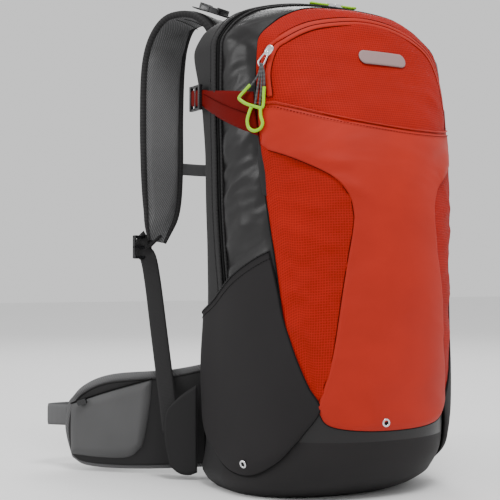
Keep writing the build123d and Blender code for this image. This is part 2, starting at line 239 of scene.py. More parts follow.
def fold_height(p, folds):
    """Height of creases at points. A fold is start, end, half width and height."""
    out = np.zeros(len(p))
    for start, end, width, height in folds:
        a, b = np.array(start, float), np.array(end, float)
        t = np.clip((p - a) @ (b - a) / ((b - a) @ (b - a)), 0, 1)
        away = np.linalg.norm(p - (a + t[:, None] * (b - a)), axis=1)
        out += height * np.exp(-((away / width) ** 2)) * np.sin(math.pi * np.clip(t, 0.04, 0.96)) ** 0.7
    return out


def soft_noise(p, size, seed):
    """Gentle noise at points, about -1 to 1."""
    shift = Vector((seed * 7.3, seed * 3.1, seed * 5.7))
    return np.array([noise.noise(Vector(q) / size + shift) for q in p])


def crinkle(p, seed):
    """Sharp slanting wrinkles of slack cloth at points, about -1 to 1."""
    x, y, z = p.T
    slant = np.stack([x / 90, (y * 0.9 - z * 0.25) / 62, (z + y * 0.55) / 25], 1)
    big = 1 - 2.6 * np.abs(soft_noise(slant, 1.0, seed))
    small = 1 - 2.6 * np.abs(soft_noise(slant, 0.45, seed + 4))
    return np.clip(0.75 * big + 0.3 * small, -1, 1)


def unit(v):
    v = np.array(v, float)
    return v / np.linalg.norm(v)


# ---- materials ----
def node(tree, kind, **values):
    """A shader node with the given settings and input values."""
    made = tree.nodes.new(kind)
    for key, value in values.items():
        if hasattr(made, key):
            setattr(made, key, value)
        else:
            made.inputs[key].default_value = value
    return made


def math_node(tree, operation, a, b=None):
    """An operation on numbers or sockets."""
    made = node(tree, "ShaderNodeMath", operation=operation)
    for k, value in enumerate((a, b)):
        if value is None:
            continue
        if isinstance(value, (int, float)):
            made.inputs[k].default_value = value
        else:
            tree.links.new(value, made.inputs[k])
    return made.outputs[0]


def stripes(tree, value, pitch, duty):
    """Soft lines repeated along a coordinate: 1 on a line, 0 between lines."""
    phase = math_node(tree, "FRACT", math_node(tree, "MULTIPLY", value, 1 / pitch))
    away = math_node(tree, "ABSOLUTE", math_node(tree, "SUBTRACT", phase, 0.5))
    shaped = node(tree, "ShaderNodeMapRange", interpolation_type="SMOOTHSTEP")
    tree.links.new(away, shaped.inputs["Value"])
    edge = 0.5 * (1 - duty)
    softness = 0.06
    shaped.inputs["From Min"].default_value = edge - softness
    shaped.inputs["From Max"].default_value = edge + softness
    return shaped.outputs[0]


def weave_height(tree, weave, u, v):
    """A height pattern for one kind of cloth, 0 to 1. Pitches are in metres."""
    def times(a, b):
        return math_node(tree, "MULTIPLY", a, b)

    def plus(a, b):
        return math_node(tree, "ADD", a, b)

    if weave == "ripstop":
        lines = math_node(tree, "MAXIMUM", stripes(tree, u, 0.0026, 0.3), stripes(tree, v, 0.0026, 0.3))
        fine = times(stripes(tree, u, 0.0009, 0.5), stripes(tree, v, 0.0009, 0.5))
        return plus(lines, times(fine, 0.35))
    if weave == "mesh":
        slant = math_node(tree, "SUBTRACT", u, times(v, 0.75))
        ribs = stripes(tree, slant, 0.0029, 0.55)
        beads = stripes(tree, plus(v, times(u, 0.75)), 0.0026, 0.6)
        return times(ribs, plus(0.55, times(beads, 0.45)))
    if weave == "webbing":
        ribs = stripes(tree, v, 0.0016, 0.55)
        edge = stripes(tree, plus(u, v), 0.0032, 0.5)
        return plus(ribs, times(edge, 0.3))
    if weave == "rib":
        return stripes(tree, v, 0.004, 0.5)
    return times(stripes(tree, u, 0.0011, 0.5), stripes(tree, v, 0.0011, 0.5))


def principled(name):
    """A new material, its node tree and its shader."""
    material = bpy.data.materials.new(name)
    material.use_nodes = True
    tree = material.node_tree
    return material, tree, tree.nodes["Principled BSDF"]


def remap(tree, value, low, high, start=0.0, end=1.0):
    """A socket's range from start to end, mapped to low to high."""
    made = node(tree, "ShaderNodeMapRange")
    for key, number in (("From Min", start), ("From Max", end), ("To Min", low), ("To Max", high)):
        made.inputs[key].default_value = number
    tree.links.new(value, made.inputs["Value"])
    return made.outputs[0]


def two_tone(tree, factor, color, dark, light):
    """A colour that goes from darker to lighter with a factor."""
    made = node(tree, "ShaderNodeMix", data_type="RGBA")
    made.inputs["A"].default_value = (*[c * dark for c in color], 1)
    made.inputs["B"].default_value = (*[min(1, c * light) for c in color], 1)
    tree.links.new(factor, made.inputs["Factor"])
    return made.outputs["Result"]


def set_bump(tree, shader, height, depth, distance):
    """Bump of a shader from a height socket."""
    bump = node(tree, "ShaderNodeBump", Strength=depth, Distance=distance)
    tree.links.new(height, bump.inputs["Height"])
    tree.links.new(bump.outputs[0], shader.inputs["Normal"])


def cloth_material(name, color, weave="plain", rough=0.6, depth=0.25, sheen=0.1, tint=0.12, specular=0.4):
    """Woven cloth: its weave in bump and colour, and slow changes of colour and gloss."""
    blotch = 0.1
    material, tree, shader = principled(name)
    shader.inputs["Sheen Weight"].default_value = sheen
    shader.inputs["Sheen Roughness"].default_value = 0.4
    shader.inputs["Specular IOR Level"].default_value = specular
    place = node(tree, "ShaderNodeUVMap")
    split = node(tree, "ShaderNodeSeparateXYZ")
    tree.links.new(place.outputs[0], split.inputs[0])
    pattern = weave_height(tree, weave, split.outputs[0], split.outputs[1])
    solid = node(tree, "ShaderNodeTexCoord")
    patches = node(tree, "ShaderNodeTexNoise", Scale=14.0, Detail=4.0)
    tree.links.new(solid.outputs["Object"], patches.inputs["Vector"])
    scaled = node(tree, "ShaderNodeVectorMath", operation="SCALE")
    tree.links.new(two_tone(tree, pattern, color, 1 - tint, 1 + tint), scaled.inputs[0])
    shade = remap(tree, patches.outputs["Fac"], 1 - blotch, 1 + blotch, 0.3, 0.7)
    tree.links.new(shade, scaled.inputs["Scale"])
    tree.links.new(scaled.outputs[0], shader.inputs["Base Color"])
    gloss = remap(tree, patches.outputs["Fac"], rough - 0.06, rough + 0.06)
    tree.links.new(gloss, shader.inputs["Roughness"])
    set_bump(tree, shader, pattern, depth, 0.0004)
    return material


def hard_material(name, color, rough=0.35, metallic=0.0):
    """Moulded plastic or metal with a fine grain and slightly uneven gloss."""
    material, tree, shader = principled(name)
    shader.inputs["Metallic"].default_value = metallic
    solid = node(tree, "ShaderNodeTexCoord")
    speck = node(tree, "ShaderNodeTexNoise", Scale=1200.0, Detail=3.0)
    tree.links.new(solid.outputs["Object"], speck.inputs["Vector"])
    grain = speck.outputs["Fac"]
    tree.links.new(two_tone(tree, grain, color, 0.85, 1.12), shader.inputs["Base Color"])
    tree.links.new(remap(tree, grain, rough - 0.08, rough + 0.08), shader.inputs["Roughness"])
    set_bump(tree, shader, grain, 0.1, 0.0003)
    return material


# Colour, weave, roughness, bump, sheen, tint of the weave, specular.
RIPSTOP_RED = cloth_material("ripstop_red", (0.31, 0.0068, 0.0012), "ripstop", 0.66, 0.6, 0.0, 0.22, 0.14)
SMOOTH_RED = cloth_material("smooth_red", (0.38, 0.016, 0.005), "plain", 0.62, 0.12, 0.06, 0.05, 0.2)
DARK_RED = cloth_material("dark_red", (0.12, 0.0015, 0.0004), "webbing", 0.7, 0.2, 0.0, 0.08, 0.1)
SIDE_GREY = cloth_material("side_grey", (0.009, 0.0085, 0.0088), "plain", 0.37, 0.12, 0.0, 0.1, 0.32)
BASE_GREY = cloth_material("base_grey", (0.016, 0.0148, 0.0152), "plain", 0.62, 0.25, 0.0, 0.14, 0.18)
POCKET_CLOTH = cloth_material("pocket_cloth", (0.0165, 0.0152, 0.0158), "plain", 0.68, 0.15, 0.0, 0.08, 0.15)
BLACK_CLOTH = cloth_material("black_cloth", (0.012, 0.0115, 0.012), "plain", 0.6, 0.2, 0.0, 0.1, 0.25)
WING_GREY = cloth_material("wing_grey", (0.082, 0.082, 0.083), "plain", 0.7, 0.3, 0.05, 0.12, 0.2)
SPACER_MESH = cloth_material("spacer_mesh", (0.115, 0.115, 0.117), "mesh", 0.8, 0.8, 0.05, 0.34, 0.2)
WEBBING = cloth_material("webbing_black", (0.014, 0.0135, 0.014), "webbing", 0.6, 0.5, 0.0, 0.2, 0.25)
WEBBING_GREY = cloth_material("webbing_grey", (0.105, 0.105, 0.107), "webbing", 0.65, 0.5, 0.05, 0.2, 0.2)
BINDING = cloth_material("binding", (0.02, 0.0195, 0.02), "rib", 0.7, 0.5, 0.0, 0.15, 0.2)
CORD_GREY = cloth_material("cord_grey", (0.06, 0.06, 0.062), "rib", 0.7, 0.5, 0.1, 0.2)
# This dark red colours red stitches and edge lines, and also draws painted shade along the compression wings' fold.
THREAD_RED_AND_FOLD_SHADE = cloth_material("thread_red_and_fold_shade", (0.07, 0.002, 0.001), "plain", 0.9, 0.1, 0.0, 0.1, 0.05)
# This dark grey colours stitches, seams and the zip coil, and also fills the drain eyelets' holes as painted shade.
THREAD_GREY_AND_HOLE_SHADE = cloth_material("thread_grey_and_hole_shade", (0.008, 0.008, 0.008), "plain", 0.85, 0.1, 0.0, 0.1, 0.1)
ACETAL = hard_material("acetal", (0.008, 0.008, 0.009), 0.28)
LIME = hard_material("lime_rubber", (0.27, 0.56, 0.002), 0.42)
SILVER = hard_material("silver", (0.72, 0.72, 0.74), 0.22, 1.0)
PRINT = hard_material("print_grey", (0.27, 0.18, 0.175), 0.6)
ALLOY = hard_material("frame_alloy", (0.6, 0.6, 0.62), 0.35, 1.0)
SHEET_PLASTIC = hard_material("frame_plastic", (0.6, 0.6, 0.58), 0.5)
LINING = cloth_material("lining", (0.2, 0.2, 0.2), "plain", 0.7)


# ---- building meshes ----
def metric_uv(grid):
    """Distances along rows and columns of a grid, in metres, from its middle."""
    rows = np.linalg.norm(np.diff(grid, axis=1), axis=2)
    columns = np.linalg.norm(np.diff(grid, axis=0), axis=2)
    u = np.concatenate([np.zeros((len(grid), 1)), np.cumsum(rows, 1)], 1)
    v = np.concatenate([np.zeros((1, grid.shape[1])), np.cumsum(columns, 0)], 0)
    u -= u[:, grid.shape[1] // 2][:, None]
    v -= v[len(grid) // 2][None]
    return np.stack([u, v], 2) * MM


def make_mesh(name, points, faces, uvs, materials, slots, body, smooth=True):
    """A piece from points in millimetres, riding on one body."""
    mesh = bpy.data.meshes.new(name)
    mesh.from_pydata((np.asarray(points) * MM).tolist(), [], faces)
    layer = mesh.uv_layers.new(name="UVMap")
    loops = np.zeros(len(mesh.loops), int)
    mesh.loops.foreach_get("vertex_index", loops)
    layer.data.foreach_set("uv", np.asarray(uvs)[loops].ravel())
    for material in materials:
        mesh.materials.append(material)
    if slots is not None:
        mesh.polygons.foreach_set("material_index", np.asarray(slots, int))
    mesh.polygons.foreach_set("use_smooth", [smooth] * len(mesh.polygons))
    mesh.update()
    piece = bpy.data.objects.new(name, mesh)
    bpy.context.scene.collection.objects.link(piece)
    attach(piece, body)
    return piece


def grid_faces(m, n, offset=0, flip=False):
    """The four-sided faces of a grid of points."""
    i, j = np.meshgrid(np.arange(m - 1), np.arange(n - 1), indexing="ij")
    a = (i * n + j + offset).ravel()
    quads = np.stack([a, a + 1, a + n + 1, a + n], 1)
    return (quads[:, ::-1] if flip else quads).tolist()


def slab_mesh(name, outer, inner, body, materials, slot_of=None):
    """A closed piece between two grids of points, with a rim round their border."""
    m, n = outer.shape[:2]
    count = m * n
    faces = grid_faces(m, n) + grid_faces(m, n, count, True)
    ring = list(range(n)) + [i * n + n - 1 for i in range(1, m)]
    ring += [(m - 1) * n + j for j in range(n - 2, -1, -1)] + [i * n for i in range(m - 2, 0, -1)]
    rim = [[b, a, a + count, b + count] for a, b in zip(ring, ring[1:] + ring[:1])]
    uv = metric_uv(outer).reshape(-1, 2)
    slots = None
    if slot_of:
        face_count = (m - 1) * (n - 1)
        slots = [slot_of[0]] * face_count + [slot_of[1]] * face_count + [slot_of[2]] * len(rim)
    points = np.vstack([outer.reshape(-1, 3), inner.reshape(-1, 3)])
    return make_mesh(name, points, faces + rim, np.vstack([uv, uv]), materials, slots, body)


def panel(name, grid, lift, material, folds=(), rough_height=0.5, seed=1, thick=1.0,
          rows=3.0, columns=3.0, wrinkle=45.0, tuck=0.2, crease=0.0):
    """A cloth panel sewn to the bag: lifted in its middle and tucked in at its border."""
    m, n = grid.shape[:2]
    base, way = bag_surface(grid)
    flat = base.reshape(-1, 3)
    edge = falloff(m, n, rows, columns)
    height = fold_height(flat, folds) + rough_height * soft_noise(flat, wrinkle, seed)
    if crease:
        height += crease * crinkle(flat * (1, 1, 0.8), seed)
    height = tuck + (lift - tuck) * edge + height.reshape(m, n) * edge
    outer = base + way * height[..., None]
    inner = base + way * (height - thick)[..., None]
    return slab_mesh(name, outer, inner, "root", [material])


def tube(name, path, radius, material, body, closed=False, flat=1.0, sides=8, up=(0, 0, 1)):
    """A round or flattened tube along a line."""
    p = np.array(path, float)
    along = np.roll(p, -1, 0) - np.roll(p, 1, 0)
    if not closed:
        along[0], along[-1] = p[1] - p[0], p[-1] - p[-2]
    along /= np.linalg.norm(along, axis=1)[:, None] + 1e-9
    across = np.cross(along, np.array(up, float))
    across /= np.linalg.norm(across, axis=1)[:, None] + 1e-9
    lift = np.cross(across, along)
    radius = np.broadcast_to(radius, len(p))[:, None, None]
    angle = np.linspace(0, 2 * math.pi, sides, endpoint=False)
    cosine, sine = np.cos(angle)[None, :, None], np.sin(angle)[None, :, None]
    ring = across[:, None] * cosine + lift[:, None] * sine * flat
    points = p[:, None] + ring * radius
    run = np.r_[0, np.cumsum(np.linalg.norm(np.diff(p, axis=0), axis=1))] * MM
    uv = np.stack(np.broadcast_arrays((angle / 200)[None, :], run[:, None]), 2).reshape(-1, 2)
    faces = []
    rings = len(p)
    for i in range(rings if closed else rings - 1):
        for j in range(sides):
            k = (j + 1) % sides
            i2 = (i + 1) % rings
            faces.append([i * sides + j, i * sides + k, i2 * sides + k, i2 * sides + j])
    if not closed:
        faces.append(list(range(sides))[::-1])
        faces.append([(rings - 1) * sides + j for j in range(sides)])
    return make_mesh(name, points.reshape(-1, 3), faces, uv, [material], None, body)


def ribbon(name, path, across, width, thick, material, body, count=40):
    """A flat length of webbing with rounded edges along a smooth line."""
    p = curve(path, count)
    along = np.gradient(p, axis=0)
    along /= np.linalg.norm(along, axis=1)[:, None]
    a = np.broadcast_to(np.array(across, float), p.shape)
    side = a - along * np.sum(a * along, 1)[:, None]
    side /= np.linalg.norm(side, axis=1)[:, None]
    up = np.cross(side, along)
    span = np.linspace(-1, 1, 9)
    half = thick / 2 * (1 - np.abs(span) ** 6 * 0.7)[None, :, None]
    middle = p[:, None] + side[:, None] * span[None, :, None] * width / 2
    return slab_mesh(name, middle + up[:, None] * half, middle - up[:, None] * half, body, [material])


def stitches(name, path, material, body, pitch=3.4, length=2.2, radius=0.34, up=(0, 0, 1)):
    """A row of stitches: short raised threads along a line."""
    run = np.sum(np.linalg.norm(np.diff(path, axis=0), axis=1))
    line = resample(np.array(path, float), max(4, int(run / pitch) * 2 + 1))
    points, faces, uvs = [], [], []
    share = length / pitch
    for a, b in zip(line[0:-2:2], line[2::2]):
        b = a + (b - a) * share
        way = unit(b - a)
        side = np.cross(way, np.array(up, float))
        if np.linalg.norm(side) < 0.1:
            side = np.cross(way, (1.0, 0.0, 0.0))
        side = unit(side) * radius
        lift = np.cross(side, way)
        first = len(points)
        for at in (a, b):
            points += [at + side, at + lift, at - side, at - lift]
            uvs += [(0, 0)] * 4
        for j in range(4):
            k = (j + 1) % 4
            faces.append([first + j, first + k, first + 4 + k, first + 4 + j])
        faces.append([first + 3, first + 2, first + 1, first])
        faces.append([first + 4, first + 5, first + 6, first + 7])
    return make_mesh(name, points, faces, np.array(uvs, float), [material], None, body, smooth=False)


def apply_modifiers(piece):
    """Bake a piece's modifiers into its mesh."""
    depsgraph = bpy.context.evaluated_depsgraph_get()
    mesh = bpy.data.meshes.new_from_object(piece.evaluated_get(depsgraph))
    old = piece.data
    piece.modifiers.clear()
    piece.data = mesh
    bpy.data.meshes.remove(old)


def puff(piece, cap, pressure=4.0, frames=20):
    """Inflate a closed pad as cloth, moving no point further than the cap."""
    rest = np.array([v.co for v in piece.data.vertices])
    cloth = piece.modifiers.new("puff", "CLOTH")
    settings = cloth.settings
    settings.quality = 5
    settings.mass = 0.3
    settings.tension_stiffness = 15
    settings.compression_stiffness = 15
    settings.bending_stiffness = 0.5
    settings.use_pressure = True
    settings.uniform_pressure_force = pressure
    settings.effector_weights.gravity = 0
    cloth.collision_settings.use_self_collision = False
    for number in range(1, frames + 1):
        bpy.context.scene.frame_set(number)
    apply_modifiers(piece)
    bpy.context.scene.frame_set(1)
    now = np.array([v.co for v in piece.data.vertices])
    shift = now - rest
    reach = np.linalg.norm(shift, axis=1)[:, None]
    shift *= np.minimum(1, cap * MM / (reach + 1e-9))
    piece.data.vertices.foreach_set("co", (rest + shift).ravel())
    smoother = piece.modifiers.new("smooth", "SUBSURF")
    smoother.levels = 1
    smoother.render_levels = 1
    apply_modifiers(piece)
    return piece


# ---- the bag's shell ----
def bag_skin():
    """The base, the grey sides and the black back as one closed shell."""
    z = np.concatenate([np.arange(0, 20, 1.6), np.arange(20, 480, 3.0), np.arange(480, 516.6, 1.0)])
    z = np.sort(np.append(z, [60.0]))
    angle = np.linspace(0, 2 * math.pi, 281)
    cx, half, widest, front, back, square = smooth_table(LEVELS, z).T[..., None]
    ahead = np.cos(angle)[None]
    power = 2 / np.where(ahead > 0, square, BACK_SQUARENESS)
    reach = np.where(ahead > 0, widest - front, back - widest)
    x = cx + half * np.sign(np.sin(angle)) * np.abs(np.sin(angle)) ** power
    y = widest - reach * np.sign(ahead) * np.abs(ahead) ** power
    grid = np.stack([x, y, np.broadcast_to(z[:, None], x.shape)], 2)
    uv = metric_uv(grid)
    flat = grid.reshape(-1, 3)
    folds = []
    for side, _ in SIDES:
        for (y0, z0), (y1, z1), width, height in SIDE_FOLDS:
            ends = side_view([(y0, z0), (y1, z1)], side)
            folds.append((ends[0], ends[1], width, height))
    height = 0.7 * soft_noise(flat, 55.0, 3) + fold_height(flat, folds)
    slack = np.clip((26 - flat[:, 1]) / 12, 0, 1) * np.clip((flat[:, 2] - 60) / 60, 0, 1)
    slack *= np.clip((500 - flat[:, 2]) / 30, 0, 1)
    slack *= np.clip((flat[:, 1] - seam_y(flat[:, 2]) + 1) / 9, 0, 1)
    height += 3.0 * slack * crinkle(flat, 3)
    still = np.clip((flat[:, 2] - 4) / 30, 0, 1)
    moved = (flat + push(flat, spine(flat)) * (height * still)[:, None]).reshape(grid.shape)
    moved[:, -1] = moved[:, 0]
    m, n = grid.shape[:2]
    faces = grid_faces(m, n)
    middle = (grid[:-1, :-1] + grid[1:, 1:]) / 2
    slots = np.where(middle[..., 1] > 33, 2, 0)
    slots = np.where((middle[..., 2] < 60) & (middle[..., 1] < 33), 1, slots)
    low = moved[0].mean(0)
    top = moved[-1].mean(0)
    points = np.vstack([moved.reshape(-1, 3), low, top])
    uvs = np.vstack([uv.reshape(-1, 2), [[0, 0], [0, 0]]])
    count = m * n
    faces += [[count, j + 1, j] for j in range(n - 1)]
    faces += [[count + 1, (m - 1) * n + j, (m - 1) * n + j + 1] for j in range(n - 1)]
    slots = slots.ravel().tolist() + [1] * (n - 1) + [2] * (n - 1)
    skin = make_mesh("bag_shell", points, faces, uvs, [SIDE_GREY, BASE_GREY, BLACK_CLOTH], slots, "root")
    clean = skin.modifiers.new("weld", "WELD")
    clean.merge_threshold = 0.00001
    apply_modifiers(skin)
    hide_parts("base_panel", "body_panel", "back_panel")


# Creases of the side cloth in side view: y, z of both ends, half width, height.
SIDE_FOLDS = [
    ((20, 480), (-24, 462), 5, 1.8),
    ((20, 470), (-30, 440), 6, 2.4),
    ((18, 440), (-36, 425), 6, -1.4),
    ((14, 350), (-38, 372), 7, 1.8),
    ((18, 335), (-40, 350), 5, -1.4),
    ((18, 300), (-44, 330), 8, 2.0),
    ((16, 285), (-44, 300), 6, -1.5),
    ((18, 262), (-46, 290), 7, 1.6),
    ((10, 240), (-48, 268), 5, -1.2),
    ((20, 225), (-10, 235), 6, 1.2),
]
bag_skin()


def both_folds(folds, mirrored=True):
    """Front-view folds laid on the bag, and their mirror images."""
    made = []
    for (x0, z0), (x1, z1), width, height in folds:
        for side in ((1, -1) if mirrored else (1,)):
            ends = front_view([(side * x0, z0), (side * x1, z1)])
            made.append((ends[0], ends[1], width, height))
    return made


SEAM_FOOT_Z = 94.0
seam_line = hoop(seam_y, SEAM_FOOT_Z, 400)
SEAM_CORNER = 150            # where the seam turns from the side to the crown
STASH_FOOT = [(-77, 94), (-62, 75), (0, 70), (62, 75), (77, 94)]
STASH_HEM = [(-112, 399), (-104, 396.5), (-84, 389.5), (-54, 381.5), (-19, 375.6), (22, 372), (60, 372.5),
             (92, 376), (112, 382)]
STASH_LEFT = [(-77, 94), (-67, 143), (-59, 208), (-49, 270), (-48.5, 288), (-52, 303), (-64, 320), (-90, 337),
              (-110, 348)]

foot_line = front_view(curve(STASH_FOOT, 60))
front_foot = resample(np.vstack([seam_line[:1], foot_line, seam_line[-1:]]), 120)
left_rise = resample(seam_line[:SEAM_CORNER], 160)
right_rise = resample(seam_line[::-1][:SEAM_CORNER], 160)
crown_seam = resample(seam_line[SEAM_CORNER - 1:len(seam_line) - SEAM_CORNER + 1], 120)
# Creases of the ripstop panels, drawn for the wearer's left in front view.
FRONT_FOLDS = both_folds([
    ((-104, 300), (-66, 285), 6, 1.6),
    ((-106, 275), (-60, 250), 7, 2.0),
    ((-108, 250), (-62, 215), 6, -1.4),
    ((-104, 215), (-66, 190), 6, 1.5),
    ((-100, 180), (-74, 150), 6, 1.4),
    ((-98, 395), (-60, 425), 8, 1.0),
])
front = panel("front_ripstop", coons(front_foot, crown_seam, left_rise, right_rise), 1.6, RIPSTOP_RED,
              folds=FRONT_FOLDS, rough_height=0.9, seed=5, crease=0.85)
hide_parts("front_panel")

seam_left = seam_line[:200]
yoke_left = seam_left[(seam_left[:, 2] > 352) & (seam_left[:, 2] < 396)]
stash_left = resample(np.vstack([front_view(curve(STASH_LEFT, 90)), yoke_left]), 150)
stash_right = stash_left[:int(len(stash_left) * 0.96)] * (-1, 1, 1)
hem_line = front_view(curve(STASH_HEM, 110))
hem_line = resample(np.vstack([stash_left[-1:], hem_line[5:-5], stash_right[-1:]]), 110)
stash_foot = resample(np.vstack([stash_left[:1], foot_line[3:-3], stash_right[:1]]), 110)
STASH_FOLDS = both_folds([
    ((-100, 345), (-40, 330), 8, 1.6),
    ((-70, 322), (-30, 300), 7, 1.4),
    ((-40, 120), (-20, 90), 6, 0.8),
], False) + both_folds([
    ((96, 350), (60, 322), 8, 1.8),
    ((104, 366), (50, 340), 6, -1.2),
    ((70, 330), (58, 290), 7, 1.6),
], False)
stash_right = resample(stash_right, len(stash_left))
stash = panel("stash_panel", coons(stash_foot, hem_line, stash_left, stash_right), 3.4, SMOOTH_RED,
              folds=STASH_FOLDS, rough_height=0.9, seed=8, wrinkle=60.0, tuck=1.2, crease=0.6)
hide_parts("stash_pocket")

# Side pockets, in side view.
POCKET_MOUTH = [(-38, 248), (-22, 240), (10, 222), (48, 197), (88, 180)]
POCKET_REAR = [(66, 47), (90, 70), (98, 100), (98, 130), (88, 180)]
POCKET_FOOT = [(-60, 62), (-40, 38), (-11, 23), (30, 29), (66, 47)]
POCKET_FRONT = [(-60, 62), (-76, 92), (-70, 116), (-60, 149), (-51, 181), (-46, 209), (-38, 248)]
POCKET_LIFT = 7.6
for side, name in SIDES:
    mouth, rear, foot, fore = [
        side_view(curve(line, 80), side) for line in (POCKET_MOUTH, POCKET_REAR, POCKET_FOOT, POCKET_FRONT)
    ]
    grid = coons(foot, mouth, fore, rear)
    if side > 0:
        grid = grid[:, ::-1]
    m, n = grid.shape[:2]
    base, way = bag_surface(grid)
    flat = base.reshape(-1, 3)
    from_front = np.arange(n) if side < 0 else np.arange(n)[::-1]
    j = np.minimum(from_front / 26.0, from_front[::-1] / 9.0)[None, :]
    i = np.arange(m)[:, None] / 9.0
    edge = np.sin(np.clip(np.minimum(i, j), 0, 1) * math.pi / 2) ** 0.7
    height = 2.7 + (POCKET_LIFT - 2.7) * edge * (1 - 0.35 * np.linspace(0, 1, m)[:, None] ** 4)
    height += (0.7 * soft_noise(flat, 50.0, 11)).reshape(m, n) * edge
    pocket = slab_mesh(f"side_pocket_cloth_{name}", base + way * height[..., None],
                       base + way * (height - 1.2)[..., None], "root", [POCKET_CLOTH])
    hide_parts(f"side_pocket_{name}")
    top = base + way * (height + 0.2)[..., None]
    tube(f"pocket_mouth_binding_{name}", top[-1], 1.3, BINDING, "root", flat=0.6)
    stitches(f"pocket_mouth_stitches_{name}", top[-4] + way[-4] * 0.2, THREAD_GREY_AND_HOLE_SHADE, "root")
    border = np.vstack([top[:, 0][::-1], top[0], top[:, -1]])
    tube(f"pocket_seam_{name}", resample(border, 260), 0.5, THREAD_GREY_AND_HOLE_SHADE, "root")

# Seams round the front, the hem of the stash pocket, and its stitching.
tube("front_seam", on_bag(resample(seam_line, 420), 1.0), 0.75, THREAD_GREY_AND_HOLE_SHADE, "root")
tube("stash_edge_left", on_bag(stash_left, 1.7), 0.55, THREAD_RED_AND_FOLD_SHADE, "root")
tube("stash_edge_right", on_bag(stash_right, 1.7), 0.55, THREAD_RED_AND_FOLD_SHADE, "root")
for side, name in SIDES:
    strip = seam_left[(seam_left[:, 2] > 300) & (seam_left[:, 2] < 364)] * (-side, 1, 1)
    width = 3.4 * np.sin(np.linspace(0.25, 1, len(strip)) * math.pi * 0.92)
    tube(f"gusset_{name}", on_bag(strip, 1.4), width + 0.3, BLACK_CLOTH, "root", flat=0.35, up=(-side, 1, 0))
tube("stash_foot_seam", on_bag(resample(front_foot, 200), 1.2), 0.6, THREAD_GREY_AND_HOLE_SHADE, "root")
tube("stash_hem", on_bag(hem_line, 3.4), 1.0, SMOOTH_RED, "root", flat=0.8)
stitches("stash_hem_stitches", on_bag(hem_line - (0, 0, 5), 4.3), THREAD_RED_AND_FOLD_SHADE, "root")

# Rain flap over the main zip, and the tape and coil under its front edge.
def crown_band(name, y_low, y_high, foot_z, lift, material, rows=9, thick=1.0):
    """A band of cloth or tape round the bag over its crown."""
    lines = [level_hoop(y, foot_z, 300) for y in np.linspace(y_low, y_high, rows)]
    base, way = bag_surface(np.stack(lines))
    inward = np.minimum(np.arange(rows), np.arange(rows)[::-1])
    profile = np.sin(np.clip(inward / 2.0, 0, 1) * math.pi / 2)
    height = (0.3 + (lift - 0.3) * profile)[:, None, None]
    return slab_mesh(name, base + way * height, base + way * (height - thick), "root", [material])


flap = crown_band("zip_flap_cloth", 33.0, FLAP_Y[1], 66.0, 2.4, BLACK_CLOTH)
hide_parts("zip_flap")
tape = crown_band("main_zip_tape", FLAP_Y[0], 33.0, 66.0, 0.5, BINDING)
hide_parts("main_zip")
PIPINGS = (("front", 22.5, 1.4, 1.2), ("middle", 33.0, 2.2, 1.5), ("rear", 44.0, 1.4, 1.3))
for name, y, lift, radius in PIPINGS:
    line = level_hoop(y, 66.0, 400)
    tube(f"zip_piping_{name}", on_bag(line, lift), radius, BINDING, "root")
coil = on_bag(level_hoop(28.0, 215.0, 700), 1.0)
tube("main_zip_coil", coil, 1.1 + 0.5 * (np.arange(700) % 2), THREAD_GREY_AND_HOLE_SHADE, "root", flat=0.7)

# Front zip: a welt of smooth cloth with the coil's groove along its middle.
ARCH = [(-113, 402), (-112, 430), (-103.5, 455), (-92, 465), (-72, 476.5), (-50, 484), (-10, 490), (30, 489),
        (66, 480), (92, 466), (105, 450), (112, 428), (113, 402)]
ARCH_WIDTH = 9.0


def arch_line(inset):
    """The arch's line on the bag, brought inward by so much."""
    line = [(x * (1 - inset / 113), z - inset * (z - 402) / 84) for x, z in ARCH]
    p = front_view(curve(line, 220))
    ahead = seam_y(p[:, 2]) - 3.0
    p[:, 1] = np.minimum(p[:, 1], ahead)
    return on_bag(p)


arch = np.stack([arch_line(inset) for inset in np.linspace(0, ARCH_WIDTH, 9)])
arch_way = push(arch.reshape(-1, 3), spine(arch.reshape(-1, 3))).reshape(arch.shape)
ARCH_PROFILE = np.array([1.6, 2.4, 2.6, 2.5, 1.7, 2.5, 2.6, 2.4, 1.6])[:, None, None]
welt = slab_mesh("front_zip_welt", arch + arch_way * ARCH_PROFILE, arch + arch_way * (ARCH_PROFILE - 1.2),
                 "root", [SMOOTH_RED])
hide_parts("front_zip")
tube("front_zip_edge_outer", on_bag(arch[0], 1.9), 0.5, THREAD_RED_AND_FOLD_SHADE, "root")
tube("front_zip_edge_inner", on_bag(arch[-1], 1.9), 0.5, THREAD_RED_AND_FOLD_SHADE, "root")
tube("front_zip_groove", on_bag(arch[4], 2.0), 0.45, THREAD_RED_AND_FOLD_SHADE, "root")

# The plain printed bar.
MARK = (16.0, 447.0, 29.0, 7.0)   # centre x and z, half length, half height
u = np.linspace(-1, 1, 41)
ends = np.clip((np.abs(u) * MARK[2] - (MARK[2] - MARK[3])) / MARK[3], 0, 0.98)
bar = [[(MARK[0] + MARK[2] * a, MARK[1] + MARK[3] * v * math.sqrt(1 - e * e)) for a, e in zip(u, ends)]
       for v in np.linspace(-1, 1, 9)]
bar = np.stack([front_view(row) for row in bar])
mark = panel("front_bar_mark", bar, 3.7, PRINT, rough_height=0.0, thick=1.0, rows=1, columns=1, tuck=3.4)
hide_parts("front_mark")

# ---- compression wings with their ladder locks ----
BOX_CORNERS = [(i, j, k) for k in (-1, 1) for j in (-1, 1) for i in (-1, 1)]
BOX_FACES = ((0, 2, 3, 1), (4, 5, 7, 6), (0, 1, 5, 4), (2, 6, 7, 3), (0, 4, 6, 2), (1, 3, 7, 5))


